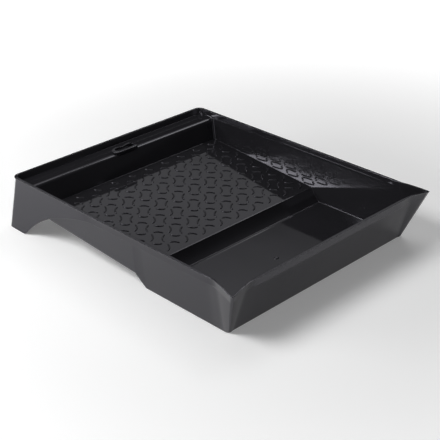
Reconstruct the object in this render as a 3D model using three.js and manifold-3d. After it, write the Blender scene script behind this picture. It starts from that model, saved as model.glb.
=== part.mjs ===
// Paint roller tray: one thin-walled moulding, laid out as its named regions.
// Frame: millimetres, +Z up, +X across the tray, -Y towards the deep well, +Y towards the rear shelf.
// The origin is on the ground under the middle of the tray.
import * as THREE from "three";
import { ConvexGeometry } from "three/addons/geometries/ConvexGeometry.js";
import { mergeVertices } from "three/addons/utils/BufferGeometryUtils.js";
import Module from "manifold-3d";

const wasm = await Module();
wasm.setup();

// Driving dimensions
const wall = 2; // thickness of every panel
const joint = 0.3; // gap between neighbouring regions
const rimHeight = 66.5; // ridge of the rim above the ground
const rimHalfWidth = 160; // centre line to the ridge of a side rim
const rimHalfLength = 192; // middle to the ridge of the front and rear rims
const rearCornerRadius = 12; // of the ridge
const bandHeight = 9; // upright band under the rim
const bandStep = 2; // the side walls are stepped in by this much below the band
const lipReach = 3; // the rim's lip stands outside the ridge
const floorHalfWidth = 149; // well floor, inside
const wellCornerRadius = 12; // outside
const frontFootY = -175.2; // outside of the front wall at the ground
const stepFootY = -44.8; // where the well floor meets the step
const rampLow = { y: -30, z: 17.3 }; // top edge of the step
const rampHigh = { y: 154.6, z: 30.6 }; // where the ramp meets the rear wall
const shelf = { y: 164, z: 58.2 }; // front edge of the rear shelf
const spoutTip = { x: 168.6, y: -198, z: 63.5 };
const spoutSideY = -158; // a spout starts here on the side wall
const spoutFrontX = 132; // and here on the front wall
const legFlare = { x: 12.3, y: 3 }; // how far a foot stands outside the top of its leg
const legSideY = 40; // the leg's side skirt ends here
const legRearX = 96; // and its rear skirt here
const footSideY = 160; // inner ends of a foot, on the side and on the rear
const footRearX = 140;
const lug = { halfWidth: 20, depth: 11, height: 5.2, slotHalfWidth: 12, slotWidth: 5 };

const bandFootZ = rimHeight - bandHeight;
const wallTopZ = bandFootZ - joint;
const bandInnerX = rimHalfWidth - wall / 2;
const bandInnerY = rimHalfLength - wall / 2;
const wallTopX = bandInnerX - bandStep;
const frontRimY = -rimHalfLength;
const spoutEndY = spoutSideY + joint;
const spoutEndX = spoutFrontX - joint;
const rearRimY = shelf.y; // the rear rim and its arms start here
const legTop = { x: bandInnerX + joint + wall, y: bandInnerY + joint + wall };

const tray = new THREE.Group();
const frontEnd = spoutTip.y + wall / 2 - lipReach;
const rearEnd = legTop.y + legFlare.y;
tray.position.y = -(frontEnd + rearEnd) / 2;

function add(name, geometry) {
  const finish = { color: 0x17171a, roughness: 0.22, metalness: 0 };
  const mesh = new THREE.Mesh(geometry, new THREE.MeshStandardMaterial(finish));
  mesh.name = name;
  tray.add(mesh);
  return mesh;
}

function addPair(name, geometry) {
  add("right_" + name, geometry);
  add("left_" + name, geometry).scale.x = -1;
}

// Inside of a side wall at height z.
function sideX(z) {
  return floorHalfWidth + ((z - wall) / (wallTopZ - wall)) * (wallTopX - floorHalfWidth);
}

// Outside of the front wall at height z.
function frontY(z) {
  return frontFootY - ((rimHalfLength + frontFootY) / rimHeight) * z;
}

// Inside of the rear wall at height z.
function rearY(z) {
  return rampHigh.y + ((z - rampHigh.z) / (shelf.z - rampHigh.z)) * (shelf.y - rampHigh.y);
}

function hull(points) {
  return new ConvexGeometry(points.map(([x, y, z]) => new THREE.Vector3(x, y, z)));
}

function toSolid(geometry) {
  const bare = geometry.clone();
  bare.deleteAttribute("normal");
  bare.deleteAttribute("uv");
  const merged = mergeVertices(bare);
  return new wasm.Manifold(
    new wasm.Mesh({
      numProp: 3,
      vertProperties: merged.attributes.position.array,
      triVerts: new Uint32Array(merged.index.array),
    }),
  );
}

function toGeometry(solid) {
  const mesh = solid.getMesh();
  const geometry = new THREE.BufferGeometry();
  const positions = new THREE.BufferAttribute(new Float32Array(mesh.vertProperties), 3);
  geometry.setAttribute("position", positions);
  return geometry.setIndex(new THREE.BufferAttribute(new Uint32Array(mesh.triVerts), 1));
}

// A plan outline, raised from z = low to z = high.
function raise(outline, low, high) {
  const settings = { depth: high - low, bevelEnabled: false, curveSegments: 8 };
  return new THREE.ExtrudeGeometry(outline, settings).translate(0, 0, low);
}

// An outline drawn in Y and Z, swept along X from low to high.
function sweepX(outline, low, high) {
  const settings = { depth: high - low, bevelEnabled: false, curveSegments: 10 };
  const geometry = new THREE.ExtrudeGeometry(outline, settings);
  return geometry.rotateX(Math.PI / 2).rotateZ(Math.PI / 2).translate(low, 0, 0);
}

// An outline drawn in X and Z, swept along Y from low to high.
function sweepY(outline, low, high) {
  const settings = { depth: high - low, bevelEnabled: false, curveSegments: 10 };
  return new THREE.ExtrudeGeometry(outline, settings).rotateX(Math.PI / 2).translate(0, high, 0);
}

// A panel across the tray, from its outline in Y and Z. It ends a joint short of the side walls.
function crossPanel(outline) {
  const ends = outline.map(([y, z]) => [sideX(z) - joint, y, z]);
  return hull([...ends, ...ends.map(([x, y, z]) => [-x, y, z])]);
}

// A side wall panel, from its outline in Y and Z.
function sidePanel(outline) {
  return hull(outline.flatMap(([y, z]) => [0, wall].map((out) => [sideX(z) + out, y, z])));
}

function rectangle(x0, y0, x1, y1) {
  const points = [[x0, y0], [x1, y0], [x1, y1], [x0, y1]];
  return new THREE.Shape(points.map(([x, y]) => new THREE.Vector2(x, y)));
}

// Rounded at the two corners beside y = far, square at y = near.
function roundedEnd(halfWidth, near, far, radius) {
  const path = new THREE.Shape();
  const turn = Math.sign(far - near);
  const inner = far - turn * radius;
  path.moveTo(halfWidth, near);
  path.lineTo(halfWidth, inner);
  path.absarc(halfWidth - radius, inner, radius, 0, (turn * Math.PI) / 2, turn < 0);
  path.lineTo(radius - halfWidth, far);
  path.absarc(radius - halfWidth, inner, radius, (turn * Math.PI) / 2, turn * Math.PI, turn < 0);
  path.lineTo(-halfWidth, near);
  path.closePath();
  return path;
}

function wellFloor() {
  const front = frontY(0) + wall + joint;
  return raise(roundedEnd(sideX(0) - joint, stepFootY - joint, front, wellCornerRadius - wall), 0, wall);
}

function frontWall() {
  const points = [0, wallTopZ].flatMap((z) => [0, wall].map((back) => [frontY(z) + back, z]));
  return hull(points.flatMap(([y, z]) => [[-spoutEndX, y, z], [spoutEndX, y, z]]));
}

function wellWall() {
  return sidePanel([
    [spoutEndY, 0],
    [stepFootY, 0],
    [rampLow.y - joint, rampLow.z - wall],
    [rampLow.y - joint, wallTopZ],
    [spoutEndY, wallTopZ],
  ]);
}

function rampWall() {
  const shelfUnderside = shelf.z - wall - joint;
  return sidePanel([
    [rampLow.y, rampLow.z - wall],
    [rearY(rampHigh.z - wall) + wall, rampHigh.z - wall],
    [rearY(shelfUnderside), shelfUnderside],
    [rearY(shelfUnderside), wallTopZ],
    [rampLow.y, wallTopZ],
  ]);
}

function rampStep() {
  const low = stepFootY;
  const high = rampLow.y - joint;
  return crossPanel([
    [low, 0],
    [low + wall, 0],
    [high, rampLow.z - 2 * wall],
    [high, rampLow.z],
    [low, wall],
  ]);
}

function rampPlate() {
  const rear = rearY(rampHigh.z - wall) - joint;
  const edges = [[rampLow.y, rampLow.z], [rear, rampHigh.z]];
  return crossPanel(edges.flatMap(([y, z]) => [[y, z], [y, z - wall]]));
}

function rearWall() {
  const heights = [rampHigh.z - wall, shelf.z - wall - joint];
  return crossPanel(heights.flatMap((z) => [[rearY(z), z], [rearY(z) + wall, z]]));
}

function rearShelf() {
  const outline = roundedEnd(bandInnerX - joint, shelf.y, bandInnerY - joint, rearCornerRadius - wall / 2);
  return raise(outline, shelf.z - wall, shelf.z);
}

// A raised pad with a slot through it, to hang the tray by.
function hangingLug() {
  const y = shelf.y + 1;
  const slotY = y + (lug.depth - lug.slotWidth) / 2;
  const outline = roundedEnd(lug.halfWidth, y, y + lug.depth, lug.depth / 2);
  outline.holes.push(rectangle(-lug.slotHalfWidth, slotY, lug.slotHalfWidth, slotY + lug.slotWidth));
  return raise(outline, shelf.z + joint, shelf.z + joint + lug.height);
}

// Section of a straight rim: band, lip outside it and ledge inside it, at a distance from the middle.
function rimSection(ridge, ledgeInner) {
  const inner = ridge - wall / 2;
  const section = new THREE.Shape();
  section.moveTo(ledgeInner, bandFootZ);
  section.lineTo(inner + wall, bandFootZ);
  section.lineTo(inner + wall, rimHeight - wall);
  section.lineTo(ridge + lipReach, rimHeight - wall);
  section.lineTo(ridge + lipReach, rimHeight);
  section.lineTo(inner, rimHeight);
  section.lineTo(inner, bandFootZ + wall);
  section.lineTo(ledgeInner, bandFootZ + wall);
  section.closePath();
  return section;
}

function sideRim() {
  return sweepY(rimSection(rimHalfWidth, wallTopX), spoutEndY, rearRimY - joint);
}

function frontRim() {
  const section = rimSection(rimHalfLength, -frontY(wallTopZ) - wall);
  return sweepX(section, -spoutEndX, spoutEndX).rotateZ(Math.PI);
}

// Band and lip round the rear, with both rounded corners.
function rearRim() {
  const plan = (grow, near) =>
    roundedEnd(rimHalfWidth + grow, near, rimHalfLength + grow, rearCornerRadius + grow);
  const band = toSolid(raise(plan(wall / 2, rearRimY), bandFootZ, rimHeight));
  const lip = toSolid(raise(plan(lipReach, rearRimY), rimHeight - wall, rimHeight));
  const hollow = toSolid(raise(plan(-wall / 2, rearRimY - wall), 0, 2 * rimHeight));
  return toGeometry(band.add(lip).subtract(hollow));
}

// Outline of a front corner, grown outwards: rounded at the ground, drawn out to the tip at the rim.
function spoutCorner(grow, low, high, lift) {
  const radius = wellCornerRadius + grow;
  const centre = { x: sideX(0) + wall - wellCornerRadius, y: frontY(0) + wellCornerRadius };
  const arc = [0, 1, 2, 3].map((k) => {
    const angle = (-k * Math.PI) / 6;
    return [centre.x + radius * Math.cos(angle), centre.y + radius * Math.sin(angle), low];
  });
  const inside = { x: spoutFrontX + Math.min(0, 2 * grow), y: spoutSideY - Math.min(0, 2 * grow) };
  const top = { x: rimHalfWidth + wall / 2 + grow, y: frontRimY - wall / 2 - grow };
  return hull([
    ...arc,
    [centre.x + radius, inside.y, low],
    [inside.x, centre.y - radius, low],
    [inside.x, inside.y, low],
    [inside.x, inside.y, high],
    [top.x, inside.y, high],
    [inside.x, top.y, high],
    [spoutTip.x + grow, spoutTip.y - grow, spoutTip.z + lift],
  ]);
}

function spoutLip() {
  const grow = lipReach - wall / 2;
  const corners = [
    [spoutFrontX, spoutSideY, rimHeight],
    [rimHalfWidth + lipReach, spoutSideY, rimHeight],
    [spoutFrontX, frontRimY - lipReach, rimHeight],
    [spoutTip.x + grow, spoutTip.y - grow, spoutTip.z],
  ];
  return hull([...corners, ...corners.map(([x, y, z]) => [x, y, z - wall])]);
}

function spout() {
  const shell = toSolid(spoutCorner(0, 0, rimHeight, 0));
  const hollow = toSolid(spoutCorner(-wall, -wall, rimHeight + wall, 2 * wall));
  return toGeometry(shell.add(toSolid(spoutLip())).subtract(hollow));
}

// The open arch beside a foot, drawn outwards from its crown to the foot's inner end.
function archOutline(crown, foot) {
  const span = foot - crown;
  const outline = new THREE.Shape();
  outline.moveTo(crown - wall, -wall);
  outline.lineTo(foot, -wall);
  outline.bezierCurveTo(foot - 0.15 * span, 0.5 * bandFootZ, foot - 0.45 * span, 0.85 * bandFootZ,
    crown - wall, bandFootZ);
  outline.closePath();
  return outline;
}

// A leg: a skin round the rear corner, flared towards the ground, with an arch cut into each arm.
function leg() {
  const radius = rearCornerRadius + wall;
  const ring = (inset) => roundedEnd(legTop.x - inset, legSideY - inset, legTop.y - inset, radius - inset);
  const skin = toSolid(raise(ring(0), 0, wallTopZ));
  const inside = toSolid(raise(ring(wall), -wall, wallTopZ + wall));
  const otherSide = toSolid(raise(rectangle(-2 * legTop.x, 0, legRearX, 2 * legTop.y), -wall, rimHeight));
  const flare = new THREE.Matrix4().makeShear(0, 0, 0, 0, -legFlare.x / wallTopZ, -legFlare.y / wallTopZ);
  const upright = toGeometry(skin.subtract(inside).subtract(otherSide));
  const flared = upright.applyMatrix4(flare).translate(legFlare.x, legFlare.y, 0);
  const sideArch = sweepX(archOutline(legSideY, footSideY), legTop.x - 4 * wall, 2 * legTop.x);
  const rearArch = sweepY(archOutline(legRearX, footRearX), legTop.y - 4 * wall, 2 * legTop.y);
  return toGeometry(toSolid(flared).subtract(toSolid(sideArch)).subtract(toSolid(rearArch)));
}

add("well_floor", wellFloor());
add("front_wall", frontWall());
addPair("well_wall", wellWall());
addPair("ramp_wall", rampWall());
add("ramp_step", rampStep());
add("ramp_plate", rampPlate());
add("rear_wall", rearWall());
add("rear_shelf", rearShelf());
add("hanging_lug", hangingLug());
add("front_rim", frontRim());
addPair("rim", sideRim());
add("rear_rim", rearRim());
addPair("spout", spout());
addPair("leg", leg());

export default tray;
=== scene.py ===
"""Paint roller tray, with its floor, light and camera.

One glossy black moulding drawn as a shell, with the ribs on its ramp, its hanging lug and its gate mark.
"""

import math

import bpy
from mathutils import Matrix, Vector


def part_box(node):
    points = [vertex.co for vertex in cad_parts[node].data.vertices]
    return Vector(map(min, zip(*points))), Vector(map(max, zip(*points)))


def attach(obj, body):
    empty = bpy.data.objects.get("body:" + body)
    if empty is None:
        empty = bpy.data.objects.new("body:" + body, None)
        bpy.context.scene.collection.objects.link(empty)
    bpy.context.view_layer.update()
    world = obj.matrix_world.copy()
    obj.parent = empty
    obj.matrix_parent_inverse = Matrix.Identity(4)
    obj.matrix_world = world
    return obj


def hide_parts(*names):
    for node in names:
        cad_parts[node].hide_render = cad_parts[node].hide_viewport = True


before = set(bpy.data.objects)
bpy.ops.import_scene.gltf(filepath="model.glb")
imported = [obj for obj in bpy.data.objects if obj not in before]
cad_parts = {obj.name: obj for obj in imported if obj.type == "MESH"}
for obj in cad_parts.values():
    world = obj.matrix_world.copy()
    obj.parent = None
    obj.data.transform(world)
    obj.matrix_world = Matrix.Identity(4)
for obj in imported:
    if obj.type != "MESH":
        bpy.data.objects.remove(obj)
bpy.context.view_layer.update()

MM = 0.001
WALL = 2.0 * MM
LIP = 3.6 * MM  # how far the lip stands out from the ridge
LIP_THICK = 1.8 * MM
SIDE_LEDGE = 0.5 * MM  # width of the ledge below the ridge, at the front and the sides
BAND_LEAN = 0.4 * MM  # the band between that ledge and the ridge leans in this far

# radii seen from above
CORNER_RADIUS = 6 * MM  # the ridge's rear corners
FOOT_RADIUS = 4 * MM  # the well's front corners
BOX_RADIUS = 3 * MM  # the rear corners inside, level with the shelf
BOX_FOOT_RADIUS = 2.5 * MM  # the same corners down at the ramp

# how far a rounding reaches from its corner
SIDE_NOSING = 1.3 * MM  # a wall's top, at the front and the sides
FAN_NOSING = 0.3 * MM  # the same where the rear corner starts
REAR_NOSING = 4.6 * MM  # from the rear wall to the shelf
WELL_FILLET = 1.6 * MM  # a wall's foot beside the well
RAMP_FILLET = 0.5 * MM  # beside the ramp
REAR_FILLET = 0.3 * MM  # at the rear wall and its corners


def corners(node):
    """Lowest and highest corner of a solid's box."""
    lo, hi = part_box(node)
    return Vector(lo), Vector(hi)


FLOOR_LO, FLOOR_HI = corners("well_floor")
STEP_LO, STEP_HI = corners("ramp_step")
RAMP_LO, RAMP_HI = corners("ramp_plate")
SHELF_LO, SHELF_HI = corners("rear_shelf")
RIM_HI = corners("right_rim")[1]
FRONT_LO = corners("front_rim")[0]
REAR_HI = corners("rear_rim")[1]
SPOUT_LO, SPOUT_HI = corners("right_spout")
LEG_HI = corners("right_leg")[1]
LUG_LO, LUG_HI = corners("hanging_lug")

# The ridge is the rim's inner top edge; these place it.
TOP = REAR_HI.z
RIM_X = RIM_HI.x - LIP
FRONT_Y = FRONT_LO.y + LIP
REAR_Y = REAR_HI.y - LIP
MIDDLE_Y = (REAR_Y + FRONT_Y) / 2
TIP = Vector((SPOUT_HI.x - 1.5 * MM, SPOUT_LO.y + 1.6 * MM, TOP - 3 * MM))  # at the end of a spout

INSIDE_X = RIM_X - BAND_LEAN - SIDE_LEDGE  # inside of a side wall, level with the ledge
LEDGE_Z = SHELF_HI.z
FLOOR_Z = FLOOR_HI.z
FLOOR_X = FLOOR_HI.x + 0.4 * MM
FLOOR_Y = FLOOR_LO.y - 0.6 * MM
NOSING_Y = SHELF_LO.y - 0.5 * MM
FAN_Y = NOSING_Y - BOX_RADIUS  # the stations start to fan out round the rear corner here
STEP_FOOT = Vector((0, STEP_LO.y, FLOOR_Z))
RAMP_FRONT = Vector((0, RAMP_LO.y, STEP_HI.z))
RAMP_REAR = Vector((0, RAMP_HI.y + 0.9 * MM, RAMP_HI.z))
TOE = Vector((LEG_HI.x, LEG_HI.y, 0))
LUG_FRONT = NOSING_Y - 0.7 * MM


# ---------- small helpers ----------


def mix(a, b, t):
    return a + (b - a) * t


def smooth(t):
    t = min(1.0, max(0.0, t))
    return t * t * (3 - 2 * t)


def curve(a, corner, b, t):
    """A point of the curve from a to b that bends towards the corner."""
    return mix(mix(a, corner, t), mix(corner, b, t), t)


def bend(before, corner, after, reach, steps):
    """Points of a soft corner that starts and ends `reach` away from it, or less where a side is short."""
    most = 0.45
    a = corner + (before - corner).normalized() * min(reach, most * (before - corner).length)
    b = corner + (after - corner).normalized() * min(reach, most * (after - corner).length)
    return [curve(a, corner, b, k / steps) for k in range(steps + 1)]


def soft_line(points, reaches, steps):
    """A polyline with every inner corner softened."""
    line = [points[0]]
    for k in range(1, len(points) - 1):
        line += bend(points[k - 1], points[k], points[k + 1], reaches[k - 1], steps[k - 1])
    return line + [points[-1]]


def new_object(name, vertices, faces, material):
    mesh = bpy.data.meshes.new(name)
    mesh.from_pydata([tuple(v) for v in vertices], [], faces)
    mesh.validate()
    mesh.update()
    mesh.polygons.foreach_set("use_smooth", [True] * len(mesh.polygons))
    obj = bpy.data.objects.new(name, mesh)
    bpy.context.scene.collection.objects.link(obj)
    mesh.materials.append(material)
    return obj


def weight_normals(obj):
    shade = obj.modifiers.new("weighted normals", "WEIGHTED_NORMAL")
    shade.mode = "FACE_AREA"
    shade.weight = 80
    shade.keep_sharp = True


# ---------- nodes and material ----------


def add_noise(nodes, links, coords, scale, detail):
    noise = nodes.new("ShaderNodeTexNoise")
    noise.inputs["Scale"].default_value = scale
    noise.inputs["Detail"].default_value = detail
    links.new(coords.outputs["Object"], noise.inputs["Vector"])
    return noise


def map_range(nodes, links, source, span, result, interpolation="SMOOTHSTEP"):
    """The source's values from span[0] to span[1], mapped to result[0] to result[1]."""
    node = nodes.new("ShaderNodeMapRange")
    node.interpolation_type = interpolation
    for name, value in zip(("From Min", "From Max", "To Min", "To Max"), (*span, *result)):
        node.inputs[name].default_value = value
    links.new(source, node.inputs["Value"])
    return node.outputs["Result"]


def color_ramp(nodes, links, source, stops):
    ramp = nodes.new("ShaderNodeValToRGB")
    for element, (position, color) in zip(ramp.color_ramp.elements, stops):
        element.position = position
        element.color = (*color, 1)
    links.new(source, ramp.inputs["Fac"])
    return ramp.outputs["Color"]


def add_bump(nodes, links, noise, strength, distance):
    bump = nodes.new("ShaderNodeBump")
    bump.inputs["Strength"].default_value = strength
    bump.inputs["Distance"].default_value = distance
    links.new(noise.outputs["Fac"], bump.inputs["Height"])
    return bump


def black_plastic():
    """Glossy black polypropylene: faint flow variation, uneven gloss, a slightly wavy skin."""
    material = bpy.data.materials.new("black_polypropylene")
    material.use_nodes = True
    nodes, links = material.node_tree.nodes, material.node_tree.links
    shader = nodes["Principled BSDF"]
    shader.inputs["IOR"].default_value = 1.5
    shader.inputs["Specular Tint"].default_value = (0.9, 0.885, 1, 1)
    coords = nodes.new("ShaderNodeTexCoord")

    flow = add_noise(nodes, links, coords, 9, 3)
    shades = [(0.35, (0.0135, 0.0132, 0.0152)), (0.7, (0.0175, 0.0171, 0.0196))]
    links.new(color_ramp(nodes, links, flow.outputs["Fac"], shades), shader.inputs["Base Color"])

    gloss = add_noise(nodes, links, coords, 38, 4)
    roughness = map_range(nodes, links, gloss.outputs["Fac"], (0.3, 0.7), (0.035, 0.075), "LINEAR")
    links.new(roughness, shader.inputs["Roughness"])

    wavy = add_bump(nodes, links, add_noise(nodes, links, coords, 16, 1), 0.15, 0.6 * MM)
    fine = add_bump(nodes, links, add_noise(nodes, links, coords, 900, 2), 0.05, 0.04 * MM)
    links.new(wavy.outputs["Normal"], fine.inputs["Normal"])
    links.new(fine.outputs["Normal"], shader.inputs["Normal"])
    return material


# ---------- the floor, step and ramp, as heights along Y ----------

STEP_HOLLOW = mix(STEP_FOOT, RAMP_FRONT, 0.5) + Vector((0, 0.9 * MM, -0.9 * MM))
STEP_FLATS = 6  # the step's hollow face is drawn as this many flats
STEP_FACE = [curve(STEP_FOOT, STEP_HOLLOW, RAMP_FRONT, k / STEP_FLATS) for k in range(1, STEP_FLATS)]
BEFORE_FLOOR = Vector((0, FLOOR_Y - 20 * MM, FLOOR_Z))
PAST_RAMP = RAMP_REAR + (RAMP_REAR - RAMP_FRONT)
PLATE_LINE = soft_line(
    [BEFORE_FLOOR, STEP_FOOT, *STEP_FACE, RAMP_FRONT, PAST_RAMP],
    [0.2 * MM, *(0.4 * MM for _ in STEP_FACE), 0.9 * MM],
    [4, *(1 for _ in STEP_FACE), 4],
)


def plate_z(y):
    """Height of the floor, the step or the ramp."""
    for a, b in zip(PLATE_LINE, PLATE_LINE[1:]):
        if y <= b.y:
            return mix(a.z, b.z, (y - a.y) / (b.y - a.y))
    return PLATE_LINE[-1].z


def wall_x(z):
    """Inside of a side wall at height z."""
    return mix(FLOOR_X, INSIDE_X, (z - FLOOR_Z) / (LEDGE_Z - FLOOR_Z))


# ---------- the skirts and the legs ----------


def bezier(points, t):
    while len(points) > 1:
        points = [mix(a, b, t) for a, b in zip(points, points[1:])]
    return points[0]


# control points of the arches in a leg's skirts, from the foot on: mm along Y or X, mm up
ARCH_SIDE = [(160, -1.5), (142, 26.5), (106, 46.6), (38, 57.2)]
ARCH_REAR = [(140, -1.5), (133.4, 26.5), (120, 46.6), (94, 57.2)]
ARCH_SIDE = [Vector((y * MM + MIDDLE_Y, z * MM)) for y, z in ARCH_SIDE]
ARCH_REAR = [Vector((x * MM, z * MM)) for x, z in ARCH_REAR]
BAND_FOOT = LEDGE_Z - WALL - 0.8 * MM  # lower edge of the rim's outer band, where there is no skirt


def arch_height(arch, along):
    """Height of the skirt's lower edge, 0 at the foot; None where there is no skirt."""
    if along >= arch[0].x:
        return 0.0
    if along <= arch[-1].x:
        return None
    low, high = 0.0, 1.0
    for _ in range(30):
        middle = (low + high) / 2
        if bezier(arch, middle).x > along:
            low = middle
        else:
            high = middle
    height = bezier(arch, low).y
    return None if height >= BAND_FOOT else max(0.0, height)


# A leg leans out more and more over a stretch before its corner: where it starts, and its length.
LEAN_X, LEAN_X_LENGTH = 0.1, 0.04
LEAN_Y, LEAN_Y_LENGTH = 0.135, 0.045


def flared(point, z):
    """A point of the leg's outer skin, from its place under the lip, lowered to height z."""
    drop = (TOP - LIP_THICK - z) / (TOP - LIP_THICK)
    reach = Vector((TOE.x - (RIM_X + WALL), TOE.y - (REAR_Y + WALL), 0))
    side = smooth((point.x - LEAN_X) / LEAN_X_LENGTH)
    rear = smooth((point.y - LEAN_Y) / LEAN_Y_LENGTH)
    return Vector((point.x + reach.x * drop * side, point.y + reach.y * drop * rear, z))


# ---------- stations round the right half, from the front's middle to the rear's ----------

BAND_RISE = 1.6 * MM  # from the ledge up to the band's foot, at the front and the sides
REAR_BAND_LEAN = 2.2 * MM  # at the rear the band starts from the shelf and leans in further
LEG_THICK = 1.7 * MM
# mm from a wall's inner foot to its outer foot: at the front and rear, at a side, and what a corner adds
FRONT_FOOT_OFFSET, SIDE_FOOT_OFFSET, CORNER_FOOT_OFFSET = 2.1, 4.3, 6.4


def station(
    foot, inward, top, ridge, out, skirt=None, spout=0.0, nosing=SIDE_NOSING, fillet=WELL_FILLET, step=0.0
):
    """The section through the moulding at one place: from the plate, up, over the rim and down outside.

    `skirt` is the height of a leg's lower edge, `spout` is 1 where the wall runs straight up into a spout
    and `step` is 1 where the shelf takes the ledge's place.
    """
    out = Vector((out[0], out[1], 0))
    band = ridge - out * mix(BAND_LEAN, REAR_BAND_LEAN, step)
    band.z = LEDGE_Z + mix(BAND_RISE, 0, step)
    if top is None:
        top = ridge - out * (BAND_LEAN + SIDE_LEDGE)
        top.z = LEDGE_Z
    lip_top = ridge + out * LIP * mix(1, 0.5, spout) - Vector((0, 0, 0.3 * MM))
    lip_low = lip_top - Vector((0, 0, LIP_THICK * mix(1, 0.5, spout)))
    band_top = ridge + out * WALL * mix(1, 0.4, spout) - Vector((0, 0, LIP_THICK))
    under = LEDGE_Z - WALL
    if skirt is None:
        low = Vector((*(band_top - out * 0.2 * MM).xy, BAND_FOOT))
        low_in = low - out * LEG_THICK
        inner = low_in.copy()
    else:
        low = flared(band_top, skirt)
        low_in = low - out * LEG_THICK
        inner = flared(band_top, under) - out * LEG_THICK
    inner.z = under
    wall_top = top + (top - band).normalized() * -1.3 * MM if spout < 1 else top.copy()
    wall_top.z = under
    offset = mix(FRONT_FOOT_OFFSET, SIDE_FOOT_OFFSET, inward.x * inward.x)
    offset += CORNER_FOOT_OFFSET * (inward.x * inward.y) ** 2
    outer_foot = foot - inward * offset * MM - Vector((0, 0, WALL))
    if spout > 0:
        top, band = (mix(p, mix(foot, ridge, t), spout) for p, t in ((top, 0.84), (band, 0.87)))
        low, low_in, inner, wall_top = (
            mix(p, mix(outer_foot, band_top, t), spout)
            for p, t in ((low, 0.88), (low_in, 0.87), (inner, 0.86), (wall_top, 0.85))
        )
    plate = foot + inward * 2 * MM
    plate.z = plate_z(plate.y)
    below = outer_foot + inward * 2.4 * MM
    below.z = plate_z(below.y) - WALL
    # every corner, how far its rounding reaches, and in how many steps
    rounded = [
        (foot, fillet, 4),
        (top, nosing, 5),
        (band, mix(0.9, 0.25, step) * MM, 3),
        (ridge, 0.9 * MM, 4),
        (lip_top, mix(0.7, 0.25, max(0.0, inward.y)) * MM, 3),
        (lip_low, 0.5 * MM, 2),
        (band_top, 0.5 * MM, 2),
        (low, 0.5 * MM, 2),
        (low_in, 0.5 * MM, 2),
        (inner, 0.4 * MM, 2),
        (wall_top, 0.5 * MM, 2),
        (outer_foot, 1.6 * MM, 5),
    ]
    points, reaches, steps = zip(*rounded)
    return soft_line([plate, *points, below], reaches, steps)


def corner_foot(angle):
    """Foot of the well's rounded front corner; angle 0 is the front wall's end and 90 degrees the side's."""
    centre = Vector((FLOOR_X - FOOT_RADIUS, FLOOR_Y + FOOT_RADIUS, FLOOR_Z))
    out = Vector((math.sin(angle), -math.cos(angle), 0))
    return centre + out * FOOT_RADIUS, -out


def ridge_height(along):
    """The ridge dips towards a spout's tip; along is 0 where the dip starts and 1 at the tip."""
    return TOP - (TOP - TIP.z) * max(0.0, along) ** 1.4


# The ridge starts to bend out at the first place and runs straight to the tip from the second.
FRONT_BEND_X, FRONT_SPOUT_X = 0.118, 0.141
SIDE_BEND_Y, SIDE_SPOUT_Y = MIDDLE_Y - 0.150, MIDDLE_Y - 0.167
SIDE_SQUARE_Y = MIDDLE_Y - 0.140  # from here back, a side's stations stand square to it
FRONT_XS = (0, 30, 60, 85, 104, 114, 119, 123, 127, 131, 135, 138, 141, 144.5, 148, 153, 158, 162, 165, 166.4)
SPOUT_YS = (-195.3, -194, -191, -187, -182, -177, -172, -167, -163.5, -160, -157, -154, -150, -146)


def front_stations():
    made = []
    length = FRONT_SPOUT_X - FRONT_BEND_X
    slope = (FRONT_Y - TIP.y) / (TIP.x - FRONT_SPOUT_X + length / 2)
    for x in FRONT_XS:
        x = x * MM
        into = max(0.0, min(x, FRONT_SPOUT_X) - FRONT_BEND_X)
        y = FRONT_Y - slope * into * into / (2 * length) - slope * max(0.0, x - FRONT_SPOUT_X)
        along = (x - FRONT_SPOUT_X) / (TIP.x - FRONT_SPOUT_X)
        if x < FRONT_SPOUT_X:
            foot = Vector((x * (FLOOR_X - FOOT_RADIUS) / FRONT_SPOUT_X, FLOOR_Y, FLOOR_Z))
            inward = Vector((0, 1, 0))
        else:
            foot, inward = corner_foot(math.radians(45) * max(0.0, along))
        ridge = Vector((x, y, ridge_height(along)))
        blend = smooth((x - FRONT_BEND_X) / length)
        made.append(station(foot, inward, None, ridge, (slope * blend, -1), spout=blend))
    return made


def tip_station():
    """At the tip, `out` is short, so the lip is narrow."""
    foot, inward = corner_foot(math.radians(45))
    return [station(foot, inward, None, TIP.copy(), (0.62, -0.62), spout=1.0)]


def side_start_stations():
    made = []
    length = SIDE_BEND_Y - SIDE_SPOUT_Y
    slope = (TIP.x - RIM_X) / (SIDE_SPOUT_Y - TIP.y + length / 2)
    for y in SPOUT_YS:
        y = y * MM + MIDDLE_Y
        into = max(0.0, SIDE_BEND_Y - max(y, SIDE_SPOUT_Y))
        x = RIM_X + slope * into * into / (2 * length) + slope * max(0.0, SIDE_SPOUT_Y - y)
        along = (SIDE_SPOUT_Y - y) / (SIDE_SPOUT_Y - TIP.y)
        if y < SIDE_SPOUT_Y:
            foot, inward = corner_foot(math.radians(90 - 45 * along))
        else:
            t = (y - SIDE_SPOUT_Y) / (SIDE_SQUARE_Y - SIDE_SPOUT_Y)
            foot = Vector((FLOOR_X, mix(FLOOR_Y + FOOT_RADIUS, SIDE_SQUARE_Y, t), FLOOR_Z))
            inward = Vector((-1, 0, 0))
        ridge = Vector((x, y, ridge_height(along)))
        blend = smooth((SIDE_BEND_Y - y) / length)
        made.append(station(foot, inward, None, ridge, (1, -slope * blend), spout=blend))
    return made


# A side wall's fillet gets tighter over this stretch: where it starts, and its length.
TIGHTEN_Y, TIGHTEN_LENGTH = -0.06, 0.04
TURN_Y = 0.12  # from here back, the foot of a side's station is further forward than its ridge
SIDE_YS = (-140, -120, -100, -80, -60, -36, -15, 0, 15)
REAR_XS = (0, 20, 40, 60, 80)


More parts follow.
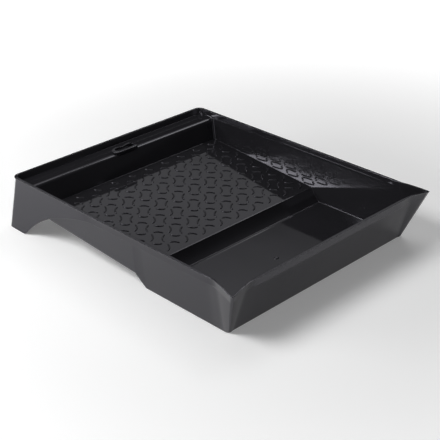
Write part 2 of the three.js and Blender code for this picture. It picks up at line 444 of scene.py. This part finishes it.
def side_station(y, foot_y):
    foot = Vector((wall_x(plate_z(foot_y)), foot_y, plate_z(foot_y)))
    skirt = arch_height(ARCH_SIDE, y)
    fillet = mix(WELL_FILLET, RAMP_FILLET, smooth((y - TIGHTEN_Y) / TIGHTEN_LENGTH))
    return station(foot, Vector((-1, 0, 0)), None, Vector((RIM_X, y, TOP)), (1, 0), skirt, fillet=fillet)


def side_stations():
    ys = {round(p.y, 6) for p in PLATE_LINE[1:-1]}
    ys |= {round(bezier(ARCH_SIDE, k / 18).x, 6) for k in range(19)}
    ys |= {y * MM + MIDDLE_Y for y in SIDE_YS}
    rear_foot = RAMP_REAR.y - BOX_FOOT_RADIUS
    made = []
    for y in sorted(y for y in ys if y < FAN_Y - MM):
        foot_y = y if y < TURN_Y else mix(TURN_Y, rear_foot, (y - TURN_Y) / (FAN_Y - TURN_Y))
        made.append(side_station(y, foot_y))
    return made + [side_station(FAN_Y, rear_foot)]


RIM_STRAIGHT = REAR_Y - CORNER_RADIUS - FAN_Y
RIM_ARC = CORNER_RADIUS * math.pi / 2
FAN_OVERRUN = 8 * MM  # the fan ends this far past the ridge's corner


def outline_at(distance):
    """Ridge and outward direction, at a distance along the ridge from where the fan of stations starts."""
    if distance < RIM_STRAIGHT:
        return Vector((RIM_X, FAN_Y + distance, TOP)), (1, 0)
    distance -= RIM_STRAIGHT
    if distance < RIM_ARC:
        angle = distance / CORNER_RADIUS
        out = (math.cos(angle), math.sin(angle))
        centre = Vector((RIM_X - CORNER_RADIUS, REAR_Y - CORNER_RADIUS, TOP))
        return centre + Vector((out[0], out[1], 0)) * CORNER_RADIUS, out
    return Vector((RIM_X - CORNER_RADIUS - (distance - RIM_ARC), REAR_Y, TOP)), (0, 1)


def fan_stations():
    """Round the rear corner: the rim turns on a wide radius, the box's corner on a tight one."""
    distances = [RIM_STRAIGHT * k / 3 for k in (1, 2)]
    distances += [RIM_STRAIGHT + RIM_ARC * k / 8 for k in range(9)]
    distances += [RIM_STRAIGHT + RIM_ARC + FAN_OVERRUN * k / 2 for k in (1, 2)]
    top_centre = Vector((INSIDE_X - BOX_RADIUS, FAN_Y, LEDGE_Z))
    foot_centre = Vector((wall_x(RAMP_REAR.z) - BOX_FOOT_RADIUS, RAMP_REAR.y - BOX_FOOT_RADIUS, 0))
    made = []
    for k, distance in enumerate(distances, 1):
        part = k / len(distances)
        turn = part * math.pi / 2
        way = Vector((math.cos(turn), math.sin(turn), 0))
        foot = foot_centre + way * BOX_FOOT_RADIUS
        foot.z = plate_z(foot.y)
        top = top_centre + way * BOX_RADIUS
        ridge, out = outline_at(distance)
        nosing = mix(FAN_NOSING, REAR_NOSING, smooth((part - 0.35) / 0.65))
        step = smooth((part - 0.25) / 0.75)
        made.append(station(foot, -way, top, ridge, out, 0.0, nosing=nosing, fillet=REAR_FILLET, step=step))
    return made


def rear_stations():
    rim_start = RIM_X - CORNER_RADIUS - FAN_OVERRUN
    top_start = INSIDE_X - BOX_RADIUS
    foot_start = wall_x(RAMP_REAR.z) - BOX_FOOT_RADIUS
    xs = {round(bezier(ARCH_REAR, k / 14).x, 6) for k in range(15)} | {x * MM for x in REAR_XS}
    made = []
    for x in sorted((x for x in xs if x < rim_start - MM), reverse=True):
        share = x / rim_start
        foot = Vector((foot_start * share, RAMP_REAR.y, plate_z(RAMP_REAR.y)))
        top = Vector((top_start * share, NOSING_Y, LEDGE_Z))
        ridge = Vector((x, REAR_Y, TOP))
        skirt = arch_height(ARCH_REAR, x)
        rounding = {"nosing": REAR_NOSING, "fillet": REAR_FILLET}
        made.append(station(foot, Vector((0, -1, 0)), top, ridge, (0, 1), skirt, **rounding, step=1.0))
    return made


# ---------- the moulding ----------


def tray_shell(material):
    """A skin through all stations and their mirror images, closed by the plate's top and underside."""
    front = front_stations() + tip_station() + side_start_stations()
    side = side_stations()
    rear = fan_stations() + rear_stations()
    right = front + side + rear
    count, depth = len(right), len(right[0])
    mirrored = [[Vector((-p.x, p.y, p.z)) for p in line] for line in right]
    ring = right + mirrored[-2:0:-1]
    vertices = [p for line in ring for p in line]
    total = len(ring)
    faces = []
    for i in range(total):
        j = (i + 1) % total
        for k in range(depth - 1):
            faces.append((i * depth + k, i * depth + k + 1, j * depth + k + 1, j * depth + k))
    left = [0] + [total - i for i in range(1, count - 1)] + [count - 1]  # each station's mirror image
    a, b = len(front), len(front) + len(side) - 1
    polygons = [[*range(a + 1), *(left[i] for i in range(a, 0, -1))]]
    polygons += [[i, i + 1, left[i + 1], left[i]] for i in range(a, b)]
    polygons.append([*range(b, count), *(left[i] for i in range(count - 2, b - 1, -1))])
    for k, flip in ((0, False), (depth - 1, True)):
        for polygon in polygons:
            face = [i * depth + k for i in polygon]
            faces.append(tuple(reversed(face)) if flip else tuple(face))
    shell = new_object("tray_moulding", vertices, faces, material)
    weight_normals(shell)
    return shell


# ---------- ribs on the ramp ----------

RIB_PITCH = 29.25 * MM
RIB_HEIGHT = 1.1 * MM
RIB_WIDTH = 2.2 * MM
RIB_TAPER = 0.55  # a rib's size at its ends, against its middle
RIB_FIRST_Y = 7.5 * MM + MIDDLE_Y
RIB_END_GAP, RIB_SIDE_GAP = 4.5 * MM, 5 * MM  # plain ramp left round the pattern
# the two kinds of arc, as shares of a cell's diagonal: distance from the cell's centre, chord, sagitta
OUTER_ARC = (0.3175, 0.285, 0.045)
INNER_ARC = (0.165, 0.36, 0.06)
# a rib's section, in half widths across and in heights up
RIB_SECTION = ((-1.0, -0.35), (-0.86, 0.35), (-0.5, 0.83), (0, 1.0), (0.5, 0.83), (0.86, 0.35), (1.0, -0.35))


def rib_path(centre, along, out, chord, sagitta, steps=8):
    """Plan points of one arc that bulges towards `out`."""
    points = []
    for k in range(steps + 1):
        t = 2 * k / steps - 1
        points.append(centre + along * (t * chord / 2) + out * (sagitta * (0.5 - t * t)))
    return points


def on_ramp(point, lift):
    return Vector((point.x, point.y, plate_z(point.y) + lift))


def rib_mesh(path, vertices, faces):
    base = len(vertices)
    count = len(RIB_SECTION)
    last = len(path) - 1
    for k, point in enumerate(path):
        ahead = (path[min(last, k + 1)] - path[max(0, k - 1)]).normalized()
        across = Vector((ahead.y, -ahead.x))
        end = 1.0 if 0 < k < last else RIB_TAPER
        for offset, lift in RIB_SECTION:
            place = point + across * (offset * RIB_WIDTH / 2 * end)
            vertices.append(on_ramp(place, lift * RIB_HEIGHT * (end if lift > 0 else 1)))
    for k in range(last):
        for m in range(count):
            n = (m + 1) % count
            a, b = base + k * count, base + (k + 1) * count
            faces.append((a + m, a + n, b + n, b + m))
    faces.append(tuple(base + m for m in range(count - 1, -1, -1)))
    faces.append(tuple(base + last * count + m for m in range(count)))


def ramp_ribs(material):
    """Cells on a square grid, each with two outer and two inner arcs, where they fit on the ramp."""
    vertices, faces = [], []
    v_way, u_way = Vector((1, 1)).normalized(), Vector((1, -1)).normalized()
    diagonal = RIB_PITCH * math.sqrt(2)
    far_outer, *outer = (share * diagonal for share in OUTER_ARC)
    far_inner, *inner = (share * diagonal for share in INNER_ARC)
    for i in range(-6, 7):
        for j in range(-2, 7):
            cell = Vector((i * RIB_PITCH, RIB_FIRST_Y + j * RIB_PITCH))
            for sign in (1, -1):
                for path in (
                    rib_path(cell + v_way * (sign * far_outer), u_way, v_way * sign, *outer),
                    rib_path(cell + u_way * (sign * far_inner), v_way, u_way * -sign, *inner),
                ):
                    if all(inside_ramp(p) for p in path):
                        rib_mesh(path, vertices, faces)
    return new_object("ramp_ribs", vertices, faces, material)


def inside_ramp(point):
    near, far = RAMP_FRONT.y + RIB_END_GAP, RAMP_REAR.y - RIB_END_GAP
    return abs(point.x) < wall_x(plate_z(point.y)) - RIB_SIDE_GAP and near < point.y < far


# ---------- hanging lug and gate mark ----------

SLOT_SHARE = (0.78, 0.52)  # the slot's size against the lug's, along X and Y
LUG_POWER, SLOT_POWER = 4.5, 5  # 2 would be an ellipse; more is squarer
HUMP_X = 10 * MM  # the tops of the lug's two humps lie this far from its middle
# rings of the lug's skin: mm outwards from the outline and mm below the top, or None for the foot
LUG_RINGS = ((0.0, None), (0.0, 0.9), (-0.15, 0.5), (-0.35, 0.4), (-1.5, 0.0))
SLOT_RINGS = ((0.5, 0.0), (0.15, 0.12), (0.0, 0.4), (0.0, 1.0), (0.0, None))
# rings of the gate mark: mm radius and mm height
GATE_RINGS = ((3.2, -0.2), (3.0, 0.15), (2.5, 0.5), (2.0, 0.85), (1.5, 1.0), (0.9, 0.7), (0.4, 0.55))


def lug_outline(grow, slot, steps=64):
    """Plan loop round the lug or round its slot, counter-clockwise."""
    middle = Vector(((LUG_LO.x + LUG_HI.x) / 2, (LUG_FRONT + LUG_HI.y) / 2))
    half = Vector(((LUG_HI.x - LUG_LO.x) / 2, (LUG_HI.y - LUG_FRONT) / 2))
    if slot:
        half = Vector((half.x * SLOT_SHARE[0], half.y * SLOT_SHARE[1]))
    power = SLOT_POWER if slot else LUG_POWER
    points = []
    for k in range(steps):
        angle = 2 * math.pi * k / steps
        c, s = math.cos(angle), math.sin(angle)
        x = math.copysign(abs(c) ** (2 / power), c) * (half.x + grow)
        y = math.copysign(abs(s) ** (2 / power), s) * (half.y + grow)
        points.append(Vector((middle.x + x, middle.y + y)))
    return points


def lug_top(point):
    """The lug's front edge is low and straight; its back rises in two humps."""
    back = smooth((point.y - LUG_FRONT) / (LUG_HI.y - LUG_FRONT))
    hump = 0.5 + 0.5 * math.cos(math.pi * (abs(point.x) - HUMP_X) / HUMP_X)
    return LUG_HI.z - (2.5 - back * (0.4 + 1.7 * hump)) * MM


def lug_foot(point):
    """The lug goes down past the nosing at its front, and just into the shelf elsewhere."""
    front = 1 - smooth((point.y - LUG_FRONT) / (3 * MM))
    return LEDGE_Z - (0.4 + 2.4 * front) * MM


def hanging_lug(material):
    rings = []
    for slot, profile in ((False, LUG_RINGS), (True, SLOT_RINGS)):
        for grow, fall in profile:
            points = lug_outline(grow * MM, slot)
            heights = [lug_foot(p) if fall is None else lug_top(p) - fall * MM for p in points]
            rings.append([Vector((*p, height)) for p, height in zip(points, heights)])
    count = len(rings[0])
    vertices = [p for ring in rings for p in ring]
    faces = []
    for r in range(len(rings)):
        a, b = r * count, ((r + 1) % len(rings)) * count
        for k in range(count):
            n = (k + 1) % count
            faces.append((a + k, a + n, b + n, b + k))
    lug = new_object("lug_with_slot", vertices, faces, material)
    weight_normals(lug)
    return lug


def gate_mark(material):
    """The low round witness of the injection gate in the middle of the well's floor."""
    centre = Vector((0, MIDDLE_Y - 105.7 * MM, FLOOR_Z))
    steps = 32
    vertices, faces = [], []
    for radius, height in GATE_RINGS:
        for k in range(steps):
            angle = 2 * math.pi * k / steps
            offset = Vector((math.cos(angle) * radius, math.sin(angle) * radius, height)) * MM
            vertices.append(centre + offset)
    for r in range(len(GATE_RINGS) - 1):
        for k in range(steps):
            n = (k + 1) % steps
            faces.append((r * steps + k, r * steps + n, (r + 1) * steps + n, (r + 1) * steps + k))
    faces.append(tuple((len(GATE_RINGS) - 1) * steps + k for k in range(steps)))
    faces.append(tuple(range(steps - 1, -1, -1)))
    return new_object("gate_mark", vertices, faces, material)


# ---------- the pieces ----------

plastic = black_plastic()
shell = tray_shell(plastic)
ribs = ramp_ribs(plastic)
lug = hanging_lug(plastic)
mark = gate_mark(plastic)

for piece in (shell, ribs, lug, mark):
    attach(piece, "root")

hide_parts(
    *("well_floor", "front_wall", "right_well_wall", "left_well_wall", "right_ramp_wall", "left_ramp_wall"),
    *("ramp_step", "rear_wall", "rear_shelf", "front_rim", "right_rim", "left_rim", "rear_rim"),
    *("right_spout", "left_spout", "right_leg", "left_leg", "ramp_plate"),
)
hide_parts("hanging_lug")


# ---------- floor, light and camera ----------


def add_floor():
    """Nearly white, and glowing more the further it is from the tray: painted light that whitens the floor
    and its shadows, weakest near the tray.
    """
    material = bpy.data.materials.new("floor_white")
    material.use_nodes = True
    nodes, links = material.node_tree.nodes, material.node_tree.links
    shader = nodes["Principled BSDF"]
    shader.inputs["Roughness"].default_value = 0.9
    coords = nodes.new("ShaderNodeTexCoord")
    shader.inputs["Emission Color"].default_value = (1, 1, 1, 1)
    distance = nodes.new("ShaderNodeVectorMath")
    distance.operation = "LENGTH"
    links.new(coords.outputs["Object"], distance.inputs[0])
    # painted light: the floor's own glow, weak near the tray and strong far off, whitens it beyond what the
    # lamps give
    glow = map_range(nodes, links, distance.outputs["Value"], (0.3, 0.9), (0.14, 0.6))
    links.new(glow, shader.inputs["Emission Strength"])
    noise = add_noise(nodes, links, coords, 3, 2)
    greys = [(0, (0.93, 0.93, 0.93)), (1, (0.95, 0.95, 0.95))]
    links.new(color_ramp(nodes, links, noise.outputs["Fac"], greys), shader.inputs["Base Color"])
    size = 20
    square = [(-size, -size, 0), (size, -size, 0), (size, size, 0), (-size, size, 0)]
    ground = new_object("ground", square, [(0, 1, 2, 3)], material)


def add_world():
    """A pale horizon, with a soft panel high up behind the tray and a faint glow high at its right."""
    world = bpy.data.worlds.new("studio")
    bpy.context.scene.world = world
    world.use_nodes = True
    nodes, links = world.node_tree.nodes, world.node_tree.links
    coords = nodes.new("ShaderNodeTexCoord")
    way = nodes.new("ShaderNodeSeparateXYZ")
    links.new(coords.outputs["Generated"], way.inputs["Vector"])

    def step(source, low, high, start, end):
        return map_range(nodes, links, way.outputs[source], (low, high), (start, end))

    def combine(operation, a, b):
        node = nodes.new("ShaderNodeMath")
        node.operation = operation
        links.new(a, node.inputs[0])
        links.new(b, node.inputs[1])
        return node.outputs["Value"]

    # the horizon is pale towards the four sides and dark between them
    diagonal = nodes.new("ShaderNodeMath")
    diagonal.operation = "ABSOLUTE"
    links.new(combine("MULTIPLY", way.outputs["X"], way.outputs["Y"]), diagonal.inputs[0])
    shade = map_range(nodes, links, diagonal.outputs["Value"], (0.25, 0.38), (1.0, 0.05))
    horizon = combine("MULTIPLY", step("Z", 0.20, 0.29, 0.95, 0.03), shade)
    panel = combine("MULTIPLY", step("Z", 0.423, 0.55, 0.0, 0.5), step("Z", 0.62, 0.72, 1.0, 0.06))
    panel = combine("MULTIPLY", panel, step("X", 0.0, 0.3, 0.0, 1.0))
    panel = combine("MULTIPLY", panel, step("Y", 0.1, 0.35, 0.0, 1.0))
    glow = combine("MULTIPLY", step("Z", 0.58, 0.7, 0.0, 0.13), step("Y", -0.58, -0.25, 0.0, 1.0))
    glow = combine("MULTIPLY", glow, step("Y", -0.05, 0.1, 1.0, 0.0))
    glow = combine("MULTIPLY", glow, step("X", 0.2, 0.4, 0.0, 1.0))
    background = nodes["Background"]
    background.inputs["Color"].default_value = (0.98, 0.985, 1, 1)
    links.new(combine("ADD", combine("ADD", horizon, panel), glow), background.inputs["Strength"])


def add_area(name, place, target, size, power):
    light = bpy.data.lights.new(name, "AREA")
    light.shape = "RECTANGLE"
    light.size, light.size_y = size
    light.energy = power
    obj = bpy.data.objects.new(name, light)
    bpy.context.scene.collection.objects.link(obj)
    obj.location = place
    obj.rotation_mode = "QUATERNION"
    obj.rotation_quaternion = (Vector(target) - Vector(place)).to_track_quat("-Z", "Y")


def add_camera():
    """At the tray's front-left, a little under 28 degrees above the horizon."""
    azimuth, elevation, roll = (math.radians(a) for a in (-44.67, 27.76, -0.41))
    level = math.cos(elevation)
    back = Vector((math.sin(azimuth) * level, -math.cos(azimuth) * level, math.sin(elevation)))
    target = Vector((-27.5 * MM, MIDDLE_Y - 38.2 * MM, 38.8 * MM))
    distance = 1.2671
    right = back.cross(Vector((0, 0, -1))).normalized()
    up = back.cross(right)
    across = right * math.cos(roll) + up * math.sin(roll)
    upward = up * math.cos(roll) - right * math.sin(roll)
    camera = bpy.data.objects.new("camera", bpy.data.cameras.new("camera"))
    bpy.context.scene.collection.objects.link(camera)
    camera.data.sensor_width = 36
    camera.data.lens = 86.33
    camera.rotation_mode = "QUATERNION"
    camera.rotation_quaternion = Matrix((across, upward, back)).transposed().to_quaternion()
    camera.location = target + back * distance
    camera.data.clip_start = 0.05
    camera.data.clip_end = 50
    bpy.context.scene.camera = camera


add_floor()
add_world()
add_area("right_softbox", (1.43, 0.38, 1.76), (0.6, 0.2, 0), (0.9, 0.6), 5)
add_area("backdrop_softbox", (0.6, 1.2, 2.2), (0.5, 0.9, 0), (1.6, 0.8), 7)
add_area("window", (-1.53, 1.17, 0.665), (0, 0, 0.665), (1.0, 0.25), 11)
add_area("left_softbox", (-0.95, 0.5, 1.25), (-0.3, 0.3, 0), (0.8, 0.6), 16)
add_area("front_softbox", (-0.5, -1.6, 1.5), (0, 0, 0), (1.6, 0.9), 4)
add_area("corner_lamp", (-1.6, -1.5, 0.35), (0, 0, 0), (0.6, 0.3), 3)
add_camera()
bpy.context.scene.view_settings.view_transform = "Standard"
